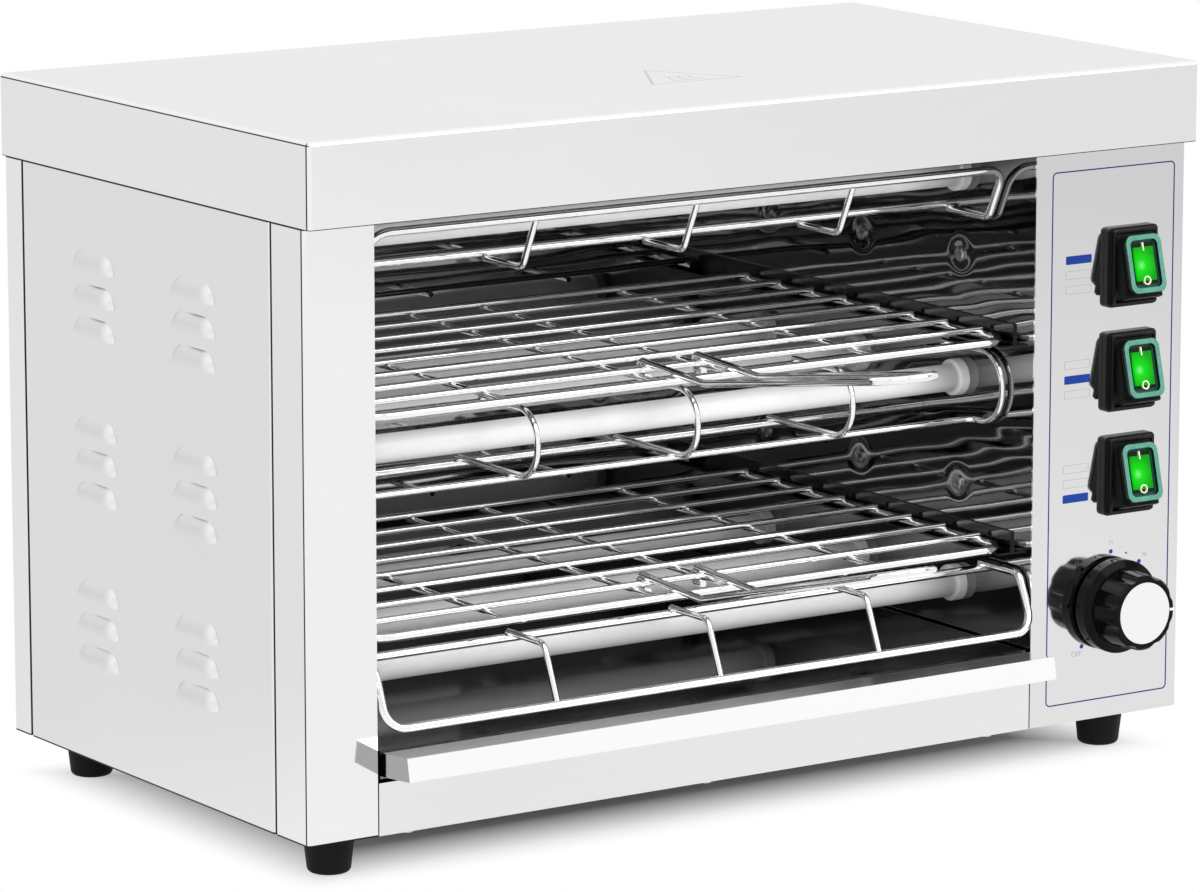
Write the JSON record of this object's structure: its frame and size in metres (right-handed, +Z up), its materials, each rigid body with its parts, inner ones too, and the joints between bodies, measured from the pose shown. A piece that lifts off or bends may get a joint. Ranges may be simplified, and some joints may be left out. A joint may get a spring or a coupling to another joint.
{
  "type": "salamander grill",
  "caption": "Two-deck countertop salamander grill with quartz tube heaters, sliding wire racks, crumb tray, lit rocker switches and a timer knob.",
  "frame": {"origin": "on the surface that the feet rest on, midway across the part and midway between the handle tips and the back of the cord bush", "axes": "+X to the right-hand side seen from the front, +Y to the back, +Z up; the racks, switches and knob face -Y"},
  "size_m": [0.496, 0.4268, 0.333],
  "materials": {
    "brushed_cabinet_steel": "fine brushed stainless sheet, satin",
    "polished_front_steel": "bright stainless sheet, soft reflections",
    "mirror_liner_steel": "mirror-bright stainless sheet, slightly wavy",
    "milky_quartz": "milky translucent quartz, satin",
    "white_ceramic": "unglazed, matt",
    "coil_wire": "dull resistance wire",
    "chrome_wire": "bright plated wire",
    "plated_hardware": "zinc plated, semi-bright",
    "black_switch_plastic": "moulded, satin",
    "black_switch_rubber": "moulded, matt",
    "teal_switch_seal": "translucent, glossy",
    "lit_green_lens": "translucent, lit from behind",
    "black_knob_plastic": "moulded, semi-gloss",
    "silver_knob_disc": "spun, satin",
    "black_foot_rubber": "moulded, matt"
  },
  "bodies": {
    "cabinet": {"top_cover": "brushed_cabinet_steel", "left_side_panel": "brushed_cabinet_steel", "right_side_panel": "brushed_cabinet_steel", "rear_panel": "brushed_cabinet_steel", "base_plate": "brushed_cabinet_steel", "left_pillar": "polished_front_steel", "control_panel": "polished_front_steel", "bottom_rail": "polished_front_steel", "cavity_left_wall": "mirror_liner_steel", "cavity_right_wall": "mirror_liner_steel", "cavity_back_wall": "mirror_liner_steel", "cavity_ceiling": "mirror_liner_steel", "upper_rack_rails": "mirror_liner_steel", "lower_rack_rails": "mirror_liner_steel", "tray_runners": "mirror_liner_steel", "quartz_tube_top_front": "milky_quartz", "quartz_tube_top_centre": "milky_quartz", "quartz_tube_top_back": "milky_quartz", "quartz_tube_middle_front": "milky_quartz", "quartz_tube_middle_centre": "milky_quartz", "quartz_tube_middle_back": "milky_quartz", "quartz_tube_bottom_front": "milky_quartz", "quartz_tube_bottom_centre": "milky_quartz", "quartz_tube_bottom_back": "milky_quartz", "left_ceramic_caps": "white_ceramic", "right_ceramic_caps": "white_ceramic", "terminal_block": "white_ceramic", "heating_coils": "coil_wire", "top_guard": "chrome_wire", "middle_guard": "chrome_wire", "bottom_guard": "chrome_wire", "tube_terminals": "plated_hardware", "foot_screws": "plated_hardware", "wall_screws": "plated_hardware", "rail_screws": "plated_hardware", "timer_body": "plated_hardware", "top_switch_housing": "black_switch_plastic", "middle_switch_housing": "black_switch_plastic", "bottom_switch_housing": "black_switch_plastic", "cord_bush": "black_switch_plastic", "feet": "black_foot_rubber"},
    "upper_rack": {"upper_rack": "chrome_wire", "upper_rack_handle": "chrome_wire"},
    "lower_rack": {"lower_rack": "chrome_wire", "lower_rack_handle": "chrome_wire"},
    "crumb_tray": {"crumb_tray": "mirror_liner_steel", "tray_lip": "polished_front_steel"},
    "top_rocker": {"top_rocker": "black_switch_rubber", "top_rocker_seal": "teal_switch_seal", "top_rocker_lens": "lit_green_lens"},
    "middle_rocker": {"middle_rocker": "black_switch_rubber", "middle_rocker_seal": "teal_switch_seal", "middle_rocker_lens": "lit_green_lens"},
    "bottom_rocker": {"bottom_rocker": "black_switch_rubber", "bottom_rocker_seal": "teal_switch_seal", "bottom_rocker_lens": "lit_green_lens"},
    "timer_knob": {"timer_shaft": "plated_hardware", "timer_knob": "black_knob_plastic", "knob_disc": "silver_knob_disc"}
  },
  "joints": [
    {"name": "upper_rack_slide", "type": "slide", "parent": "cabinet", "child": "upper_rack", "axis": [0, -1, 0], "range_m": [0, 0.15]},
    {"name": "lower_rack_slide", "type": "slide", "parent": "cabinet", "child": "lower_rack", "axis": [0, -1, 0], "range_m": [0, 0.15]},
    {"name": "crumb_tray_slide", "type": "slide", "parent": "cabinet", "child": "crumb_tray", "axis": [0, -1, 0], "range_m": [0, 0.2]},
    {"name": "top_rocker_tilt", "type": "hinge", "parent": "cabinet", "child": "top_rocker", "pos_m": [0.2106, -0.06182, 0.2375], "axis": [1, 0, 0], "range_deg": [0, 28]},
    {"name": "middle_rocker_tilt", "type": "hinge", "parent": "cabinet", "child": "middle_rocker", "pos_m": [0.2106, -0.06182, 0.1875], "axis": [1, 0, 0], "range_deg": [0, 28]},
    {"name": "bottom_rocker_tilt", "type": "hinge", "parent": "cabinet", "child": "bottom_rocker", "pos_m": [0.2106, -0.06182, 0.1375], "axis": [1, 0, 0], "range_deg": [0, 28]},
    {"name": "timer_turn", "type": "hinge", "parent": "cabinet", "child": "timer_knob", "pos_m": [0.2025, -0.06863, 0.075], "axis": [0, 1, 0], "range_deg": [-228, 72]}
  ]
}
